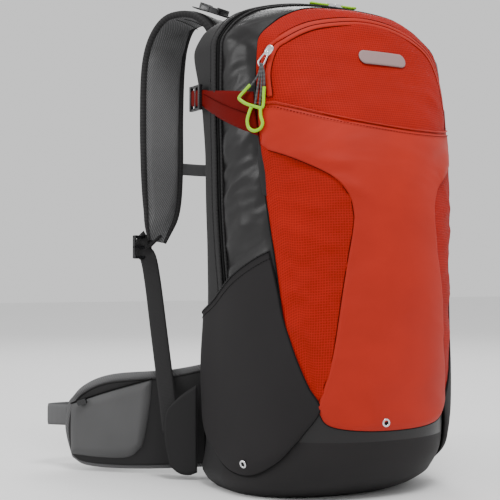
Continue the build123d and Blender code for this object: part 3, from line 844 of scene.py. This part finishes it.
def loft_boxes(name, boxes, material, body, bevel=0.8):
    """Bevelled bars joined in one moulding. A bar is centre, three half-size vectors."""
    points, faces = [], []
    for centre, a, b, c in boxes:
        first = len(points)
        a, b, c, centre = (np.array(v, float) for v in (a, b, c, centre))
        points += [centre + a * i + b * j + c * k for i, j, k in BOX_CORNERS]
        for quad in BOX_FACES:
            faces.append([first + q for q in quad])
    uv = np.zeros((len(points), 2))
    piece = make_mesh(name, np.array(points), faces, uv, [material], None, body)
    rounder = piece.modifiers.new("bevel", "BEVEL")
    rounder.width = bevel * MM
    rounder.segments = 3
    rounder.limit_method = "NONE"
    apply_modifiers(piece)
    for polygon in piece.data.polygons:
        polygon.use_smooth = True
    return piece


def ladder_lock(name, centre, x_way, y_way, width, height, thick, body, mirror):
    """A three-bar buckle, webbing running along y_way."""
    x, y = unit(x_way), unit(y_way)
    z = np.cross(x, y)
    centre = np.array(centre, float)
    bar = height / 8
    boxes = []
    for s in (-1, 1):
        boxes.append((centre + x * s * (width / 2 - 1.3), x * 1.3, y * height / 2, z * thick / 2))
    for k, lift in ((-1, 0.4), (0, 0.0), (1, 0.4)):
        middle = centre + y * k * (height / 2 - bar / 2) + z * lift * thick * 0.5
        boxes.append((middle, x * width / 2, y * bar * 0.55, z * thick * 0.5))
    flip = np.array((-1.0, 1, 1)) if mirror else np.ones(3)
    boxes = [tuple(np.array(v) * flip for v in box) for box in boxes]
    piece = loft_boxes(name, boxes, ACETAL, body)
    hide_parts(body)
    return piece


WING = [(59, 401), (59, 419), (-21, 408), (-28, 363)]
for side, name in SIDES:
    corners = side_view(WING, side)
    rear = resample(side_view(curve(WING[0:2], 12), side), 12)
    fore = resample(side_view(curve(WING[:1:-1], 12), side), 12)
    low = side_view(curve([WING[0], WING[3]], 40), side)
    high = side_view(curve([WING[1], WING[2]], 40), side)
    grid = coons(low, high, rear, fore)
    if side < 0:
        grid = grid[:, ::-1]
    wing = panel(f"compression_wing_cloth_{name}", grid, 4.0, DARK_RED, rough_height=0.3, seed=2, rows=1.2,
                 columns=1.0, tuck=2.6, folds=[(corners[1], corners[3], 4, 0.8)])
    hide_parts(f"comp_wing_{name}")
    # A dark line along the wing's fold: painted shade in the crease.
    fold = on_bag(side_view(curve([(58, 416), (-20, 385)], 40), side), 4.4)
    tube(f"compression_wing_fold_shade_{name}", fold, 0.5, THREAD_RED_AND_FOLD_SHADE, "root")
    tail = [(side * 134.5, 52, 410), (side * 137, 60, 411), (side * 139.5, 72, 412), (side * 137.5, 84, 413),
            (side * 134, 90, 412)]
    ribbon(f"compression_tail_{name}", tail, (0, 0, 1), 17.0, 1.8, DARK_RED, "root")
    ladder_lock(f"ladder_lock_comp_{name}", (-138.2, 69.5, 412), (0, 0, 1), (0, 1, 0), 27, 24, 4.0,
                f"comp_lock_{name}", side > 0)


# ---- padded pieces ----
def pillow(name, middle, way, half, materials, slot_of, body, cap, border=2.2):
    """A closed pad about a grid of middle points, thinner at its border, then puffed."""
    m, n = middle.shape[:2]
    i = np.minimum(np.arange(m), np.arange(m)[::-1])[:, None] / border
    j = np.minimum(np.arange(n), np.arange(n)[::-1])[None, :] / border
    edge = 0.45 + 0.55 * np.sin(np.clip(np.minimum(i, j), 0, 1) * math.pi / 2)
    half = (np.broadcast_to(half, (m, n)) * edge)[..., None]
    piece = slab_mesh(name, middle + way * half, middle - way * half, body, materials, slot_of)
    return puff(piece, cap)


ANCHOR_OUTLINE = [(0, 8), (9, 5), (20, 7), (30, 15), (35, 38), (36.5, 60), (33, 77), (18, 92), (0, 104)]
# Middle x, y and z, width, thickness, and turn in degrees, from the yoke down.
STRAP_STATIONS = np.array([
    (-60, 129, 452, 46, 9, 0),
    (-63, 131, 484, 50, 10, 8),
    (-73, 143, 509, 52, 11, 22),
    (-88, 161, 522, 53, 12, 28),
    (-104, 183, 519, 53, 12, 24),
    (-113, 197, 498, 53, 12, 14),
    (-117, 204, 465, 52, 12, 5),
    (-118, 206, 410, 50, 12, 0),
    (-118, 205, 350, 49, 12, 0),
    (-119, 203, 305, 45, 11, 0),
    (-124, 200, 280, 36, 10, 0),
    (-127, 199, 262, 22, 8, 0),
], float)
for side, name in SIDES:
    flip = np.array((-side, 1.0, 1.0))
    count = 96
    line = curve(STRAP_STATIONS[:, :3], count)
    rest = curve(STRAP_STATIONS, count)
    along = np.gradient(line, axis=0)
    along /= np.linalg.norm(along, axis=1)[:, None]
    turn = np.radians(rest[:, 5])
    level = np.stack([np.cos(turn), np.sin(turn), 0 * turn], 1)
    across = level - along * np.sum(level * along, 1)[:, None]
    across /= np.linalg.norm(across, axis=1)[:, None]
    out = np.cross(across, along)
    span = np.linspace(-1, 1, 15)
    half_width = rest[:, 3][:, None, None] / 2 - 1.0
    middle = line[:, None] + across[:, None] * span[None, :, None] * half_width
    bowl = (span**2)[None, :, None] * out[:, None] * -1.6
    middle = (middle + bowl) * flip
    way = np.broadcast_to((out * flip)[:, None], middle.shape)
    if side > 0:
        middle = middle[:, ::-1]
    half = rest[:, 4][:, None] / 2 - 2.0
    pad = pillow(f"shoulder_pad_foam_{name}", middle, way, half, [SPACER_MESH, BLACK_CLOTH],
                 (1, 0, 1), f"strap_{name}", 2.2)
    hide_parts(f"shoulder_pad_{name}")
    for edge_name, j in (("a", 0), ("b", -1)):
        tube(f"strap_binding_{edge_name}_{name}", middle[:, j], rest[:, 4] / 2 - 2.2, BINDING, f"strap_{name}",
             flat=1.0, up=(0.1, 1.0, 0.3), sides=10)
    for station in (24, 27):
        row = middle[station] - way[station] * (half[station] + 2.2)
        stitches(f"strap_cross_stitch_{station}_{name}", row, THREAD_GREY_AND_HOLE_SHADE, f"strap_{name}", radius=0.5)
    lifter = np.array([(-64, 101, 502), (-68, 112, 511), (-81, 137, 522), (-94, 162, 532)]) * flip
    webbing = ribbon(f"lifter_webbing_{name}", lifter, np.array((0.83, 0.55, 0)) * flip, 15.0, 1.6, WEBBING,
                     f"strap_{name}")
    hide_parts(f"lift_strap_{name}")
    ladder_lock(f"ladder_lock_lift_{name}", (-82, 139.6, 525.6), (0.84, 0.541, 0.033), (-0.515, 0.777, 0.362),
                23, 27, 7.0, f"lift_lock_{name}", side > 0)
    lower = np.array([(-127, 199, 262), (-133, 204, 268), (-139, 207, 262), (-141, 209, 252), (-135, 205, 244),
                      (-133, 196, 216), (-137.5, 168, 160), (-141.5, 140, 100), (-143, 122, 52)]) * flip
    webbing = ribbon(f"lower_webbing_{name}", lower, np.array((0.88, -0.46, 0)) * flip, 19.0, 1.7, WEBBING,
                     f"strap_{name}", count=80)
    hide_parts(f"lower_strap_{name}")
    ladder_lock(f"ladder_lock_strap_{name}", (-141, 208, 256), (0.96, 0.28, 0), (0, 0, 1), 26, 27, 4.4,
                f"strap_lock_{name}", side > 0)
    chest = np.array([(-118, 214.2, 350), (-100, 214, 350), (-60, 213, 349), (-27, 213, 350)]) * flip
    webbing = ribbon(f"sternum_webbing_{name}", chest, (0, 0, 1), 14.0, 1.5, WEBBING_GREY, f"sternum_{name}")
    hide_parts(f"sternum_strap_{name}")

    # Anchor wing.
    plane_x, plane_o = np.array((-0.85, 0.527, 0)), np.array((-120, 104, 0.0))
    spots = [plane_o + plane_x * s + np.array((0, 0, z)) for s, z in ANCHOR_OUTLINE]
    low = curve(spots[:4], 14) * flip
    tip_edge = curve(spots[3:7], 20) * flip
    high = curve(spots[:5:-1], 14) * flip
    root_edge = curve([spots[0], spots[-1]], 20) * flip
    grid = coons(low, high, root_edge, tip_edge)
    normal = np.array((0.527, 0.85, 0)) * flip
    flap_piece = slab_mesh(f"anchor_wing_cloth_{name}", grid - normal * 1.1, grid + normal * 1.1, "root",
                           [BLACK_CLOTH])
    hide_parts(f"anchor_wing_{name}")

# ---- back and lumbar pads ----
def back_grid(half_width, z_low, z_high, corner, rows=34, columns=40):
    grid = np.zeros((rows, columns, 3))
    for i, z in enumerate(np.linspace(z_low, z_high, rows)):
        inset = max(0.0, corner - min(z - z_low, z_high - z))
        width = half_width - corner + math.sqrt(max(0.0, corner**2 - inset**2))
        grid[i, :, 0] = np.linspace(-width, width, columns)
        grid[i, :, 2] = z
    start = np.stack([grid[..., 0].ravel(), np.full(rows * columns, 40.0), grid[..., 2].ravel()], 1)
    return cast(start, np.tile((0.0, 1.0, 0.0), (len(start), 1))).reshape(grid.shape)


for name, half_width, z_low, z_high, corner, high in (
    ("back_pad", 88, 294, 434, 30, 8.5), ("lumbar_pad", 82, 36, 194, 32, 13.5),
):
    grid = back_grid(half_width, z_low, z_high, corner)
    way = np.broadcast_to(np.array((0.0, 1.0, 0.0)), grid.shape)
    pad = pillow(f"{name}_foam", grid + way * high / 2, -way, high / 2 - 0.6, [SPACER_MESH, BINDING], (1, 0, 1),
                 "root", 2.5)
    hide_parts(name)
    border = np.vstack([grid[0], grid[1:, -1], grid[-1, ::-1][1:], grid[::-1, 0][1:]])
    tube(f"{name}_binding", border + (0, 1.6, 0), 2.0, BINDING, "root", closed=False, up=(0, 1, 0))

# ---- hip belt ----
BELT_ROOT = np.array((-90.0, 124.0))
BELT_ALONG = np.array((-0.718, 0.696))
BELT_NORMAL = np.array((0.696, 0.718))
BELT_BEND = 755.0
BELT_CENTRE = np.array((365.5, 725.3))


def on_belt(points, offset):
    """Points given as s, z, so far outward of the left wing's middle surface."""
    p = np.array(points, float)
    flat = BELT_ROOT + p[:, :1] * BELT_ALONG
    away = BELT_CENTRE - flat
    radius = BELT_BEND + offset
    b = away @ BELT_NORMAL
    t = b - np.sqrt(b * b - np.sum(away * away, 1) + radius**2)
    xy = flat + t[:, None] * BELT_NORMAL
    return np.column_stack([xy, p[:, 1]])


def belt_grid(low, high, root_line, tip_line, offset):
    flat = coons(*(np.column_stack([line, np.zeros(len(line))]) for line in (low, high, root_line, tip_line)))
    shape = flat.shape
    return on_belt(flat.reshape(-1, 3)[:, :2], offset).reshape(shape)


WING_TOP = [(-3, 127), (50, 117.5), (120, 111), (158, 96), (176, 78)]
WING_TIP = [(172, 12), (181, 48), (176, 78)]
WING_LOW = [(-3, 9), (90, 3), (150, 4), (172, 12)]
POUCH_TOP = [(68, 107), (120, 92), (168, 76)]
POUCH_TIP = [(168, 18), (169, 46), (168, 76)]
POUCH_LOW = [(80, 30), (96, 18), (130, 16), (168, 18)]
POUCH_ROOT = [(80, 30), (76, 46), (71, 76), (68, 107)]
for side, name in SIDES:
    flip = np.array((-side, 1.0, 1.0))
    body = f"belt_{name}"
    outward = np.append(-BELT_NORMAL, 0.0) * flip
    lines = [curve(WING_LOW, 60), curve(WING_TOP, 60), curve([WING_LOW[0], WING_TOP[0]], 36),
             curve(WING_TIP, 36)]
    order = slice(None) if side < 0 else slice(None, None, -1)
    grid = (belt_grid(*lines, 0.0) * flip)[:, order]
    way = np.broadcast_to(outward, grid.shape)
    pad = pillow(f"belt_wing_foam_{name}", grid, way, 5.6, [SPACER_MESH], (0, 0, 0), body, 2.0)
    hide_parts(f"belt_wing_{name}")
    cover_low = [(s, z + 6) for s, z in WING_LOW]
    cover_top = [(6, 118), (50, 109), (120, 101), (152, 88), (168, 72)]
    cover_tip = [(168, 18), (172, 46), (168, 72)]
    lines = [curve(cover_low[:3] + [(168, 18)], 60), curve(cover_top, 60), curve([(6, 14), (6, 118)], 36),
             curve(cover_tip, 36)]
    outer = (belt_grid(*lines, 8.2) * flip)[:, order]
    inner = (belt_grid(*lines, 5.0) * flip)[:, order]
    slab_mesh(f"belt_cover_{name}", outer, inner, body, [BLACK_CLOTH])
    tube(f"belt_piping_{name}", outer[-1] + outward * 0.2, 0.9, BINDING, body)
    lines = [curve(POUCH_LOW, 50), curve(POUCH_TOP, 50), curve(POUCH_ROOT, 34), curve(POUCH_TIP, 34)]
    base = (belt_grid(*lines, 8.0) * flip)[:, order]
    edge = falloff(34, 50, 5.0, 5.0)
    bulge = 0.6 + 6.2 * edge + 0.7 * soft_noise(base.reshape(-1, 3), 40.0, 21).reshape(34, 50) * edge
    pouch = slab_mesh(f"belt_pocket_cloth_{name}", base + outward * bulge[..., None],
                      base + outward * (bulge - 1.0)[..., None], body, [WING_GREY])
    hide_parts(f"belt_pocket_{name}")
    top = base[-1] + outward * 2.0
    tube(f"belt_zip_{name}", top, 1.4, THREAD_GREY_AND_HOLE_SHADE, body, flat=0.6)
    tip = np.array([(-216, 246, 61), (-226, 256, 61), (-235, 265, 61)]) * flip
    webbing = ribbon(f"belt_tip_webbing_{name}", tip, (0, 0, 1), 24.0, 2.0, WEBBING_GREY, body)
    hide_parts(f"belt_tip_{name}")
    strap = np.array([(-235, 265.5, 61), (-232, 271, 61), (-220, 274.6, 61), (-190, 275, 61), (-158, 275, 61)]) * flip
    webbing = ribbon(f"hip_webbing_{name}", strap, (0, 0, 1), 24.0, 2.0, WEBBING_GREY, f"hip_strap_{name}")
    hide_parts(f"hip_strap_{name}")

# ---- haul loop ----
loop = [(-34, 106, 494), (-34.5, 109, 503), (-31, 109, 517), (-16, 109, 526), (16, 109, 526), (31, 109, 517),
        (34.5, 109, 503), (34, 106, 494)]
handle = ribbon("haul_loop_webbing", loop, (0, 1, 0), 18.0, 2.4, WEBBING, "haul_loop")
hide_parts("haul_loop")

# ---- sliders, pulls and eyelets ----
SLIDERS_X = 8.0
for side, name in SIDES:
    centre = np.array((SLIDERS_X + side * 17.0, 28.0, 518.2))
    t = np.linspace(0, 2 * math.pi, 48, endpoint=False)
    ring = np.stack([11.5 * np.sign(np.cos(t)) * np.abs(np.cos(t)) ** 0.6, 3.6 * np.sin(t), 0.6 * np.cos(2 * t)], 1)
    pull = tube(f"main_pull_loop_{name}", centre + ring, 1.5, LIME, f"main_pull_{name}", closed=True, sides=10)
    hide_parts(f"main_pull_{name}")

PULL_O = np.array((-109.3, -22.2, 452))
PULL_Z = unit((-0.78, -0.62, 0.05))
PULL_X = unit(np.array((0.62, -0.78, 0)) - PULL_Z * (np.array((0.62, -0.78, 0)) @ PULL_Z))
PULL_Y = np.cross(PULL_Z, PULL_X)


def on_pull(points, lift):
    return np.array([PULL_O + PULL_X * x + PULL_Y * y + PULL_Z * (lift + (p[0] if p else 0))
                     for x, y, *p in points])


slider = tube("front_slider_body", curve(on_pull([(13, 1), (9.5, -3.5), (6.5, -8)], 4.5), 16),
              np.concatenate([np.linspace(2.6, 4.2, 5), np.full(6, 4.2), np.linspace(4.2, 3.0, 5)]), SILVER,
              "front_slider", flat=0.55, up=PULL_Z, sides=12)
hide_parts("front_slider")
tag = curve(on_pull([(8, -5), (3.4, -9), (-0.5, -14.5), (0.6, -18.5), (4, -18.5), (7, -13.5), (9.4, -7.5)], 6.5), 60,
            closed=True)
tube("front_slider_tag", tag, 0.9, SILVER, "front_slider", closed=True, flat=0.8, up=PULL_Z)
for name, points in (
    ("a", [(2, -17), (2.6, -20), (0.5, -28), (-5, -36), (-9, -40)]),
    ("b", [(3.5, -17), (4.5, -20), (6.5, -28), (7, -40)]),
    ("c", [(2.6, -17), (3, -24), (0.5, -38), (-2.5, -58)]),
    ("d", [(3.4, -17), (4.2, -24), (4, -40), (2.5, -60)]),
):
    cord = tube(f"front_pull_cord_{name}", curve(on_pull(points, 8.6), 40), 1.15, CORD_GREY, "front_pull",
                up=PULL_Z)
bail = curve(on_pull([(-8, -38), (-13, -43), (-19, -49), (-19.4, -52), (-12, -57), (-2, -60.5), (5, -62),
                      (6.6, -58), (6.8, -50), (7.2, -41)], 9.0), 90)
loop_a = tube("front_pull_bail", bail, 1.75, LIME, "front_pull", flat=0.8, up=PULL_Z, sides=10)
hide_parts("front_pull")
tear = curve(on_pull([(-6, -61), (-8.6, -68), (-10, -75), (-8, -82), (-2, -85), (4, -83), (6.6, -78), (4.4, -70),
                      (4, -63)], 10.0), 90)
tube("front_pull_loop", tear, 1.8, LIME, "front_pull", flat=0.8, up=PULL_Z, sides=10)


def eyelet(name, place, lift):
    centre = on_bag(np.array([place], float), lift)[0]
    way = unit(centre - spine(centre[None])[0])
    a = unit(np.cross(way, (0, 0, 1)))
    b = np.cross(way, a)
    t = np.linspace(0, 2 * math.pi, 28, endpoint=False)
    ring = centre + 3.3 * (np.cos(t)[:, None] * a + np.sin(t)[:, None] * b)
    rim = tube(f"eyelet_{name}", ring, 1.15, SILVER, "root", closed=True, up=way)
    # A near-black plug fills the eyelet's hole: painted shade for the dark inside of the bag seen through it.
    shade_plug = tube(f"eyelet_shade_plug_{name}", [centre - way * 0.8, centre + way * 0.25], 3.0, THREAD_GREY_AND_HOLE_SHADE, "root",
                up=a, sides=20)
    return rim, shade_plug


rims = [eyelet("front", (-12, -95.7, 79), 3.9)[0], eyelet("left", (-125.7, -10.2, 33.5), 8.2)[0],
        eyelet("right", (119.8, -10.2, 33.5), 8.2)[0]]
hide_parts("drain_eyelets")

# ---- CAD parts that stay, with their finishes ----
KEPT = {
    ACETAL: ["sternum_clip_left", "sternum_clip_right", "sternum_socket", "sternum_prongs", "hip_socket",
             "hip_prongs", "belt_slider_left", "belt_slider_right"],
    SILVER: ["main_slider_left", "main_slider_right"],
    ALLOY: ["frame_wire"],
    SHEET_PLASTIC: ["frame_sheet"],
    LINING: ["inner_wall"],
}
for material, names in KEPT.items():
    for name in names:
        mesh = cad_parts[name].data
        mesh.materials.clear()
        mesh.materials.append(material)

# ---- studio ----
def plain(name, color, rough):
    material = bpy.data.materials.new(name)
    material.use_nodes = True
    shader = material.node_tree.nodes["Principled BSDF"]
    shader.inputs["Base Color"].default_value = (*color, 1)
    shader.inputs["Roughness"].default_value = rough
    return material


bpy.ops.mesh.primitive_plane_add(size=14, location=(0, 0, -0.0005))
floor = bpy.context.object
floor.name = "floor"
floor.data.materials.append(plain("floor_white", (0.86, 0.86, 0.86), 0.7))

world = bpy.context.scene.world or bpy.data.worlds.new("studio")
bpy.context.scene.world = world
world.use_nodes = True
world.node_tree.nodes["Background"].inputs["Color"].default_value = (1, 1, 1, 1)
world.node_tree.nodes["Background"].inputs["Strength"].default_value = 0.9


def area_light(name, place, target, size, power):
    data = bpy.data.lights.new(name, "AREA")
    data.size = size
    data.energy = power
    light = bpy.data.objects.new(name, data)
    light.location = place
    light.rotation_euler = (Vector(target) - Vector(place)).to_track_quat("-Z", "Y").to_euler()
    bpy.context.scene.collection.objects.link(light)


area_light("key", (-0.2, -1.0, 2.3), (0, 0, 0.42), 0.9, 44)
area_light("left_fill", (-2.0, 0.5, 1.0), (0, 0.05, 0.3), 0.6, 12)
area_light("rear_rim", (0.8, 1.8, 1.6), (0, 0, 0.3), 1.0, 16)

# The camera stands 33 degrees to the wearer's left of straight ahead.
VIEW_ANGLE = math.radians(33)
DISTANCE = 1.23
EYE_HEIGHT = 0.228
PAN = math.radians(4.54)
PITCH = math.radians(1.05)
heading = math.pi / 2 - VIEW_ANGLE + PAN
forward = Vector((math.cos(heading) * math.cos(PITCH), math.sin(heading) * math.cos(PITCH), math.sin(PITCH)))
camera = bpy.data.objects.new("camera", bpy.data.cameras.new("camera"))
camera.location = (-math.sin(VIEW_ANGLE) * DISTANCE, -math.cos(VIEW_ANGLE) * DISTANCE, EYE_HEIGHT)
camera.rotation_euler = forward.to_track_quat("-Z", "Y").to_euler()
camera.data.sensor_width = 36
camera.data.lens = 82.8
bpy.context.scene.collection.objects.link(camera)
bpy.context.scene.camera = camera
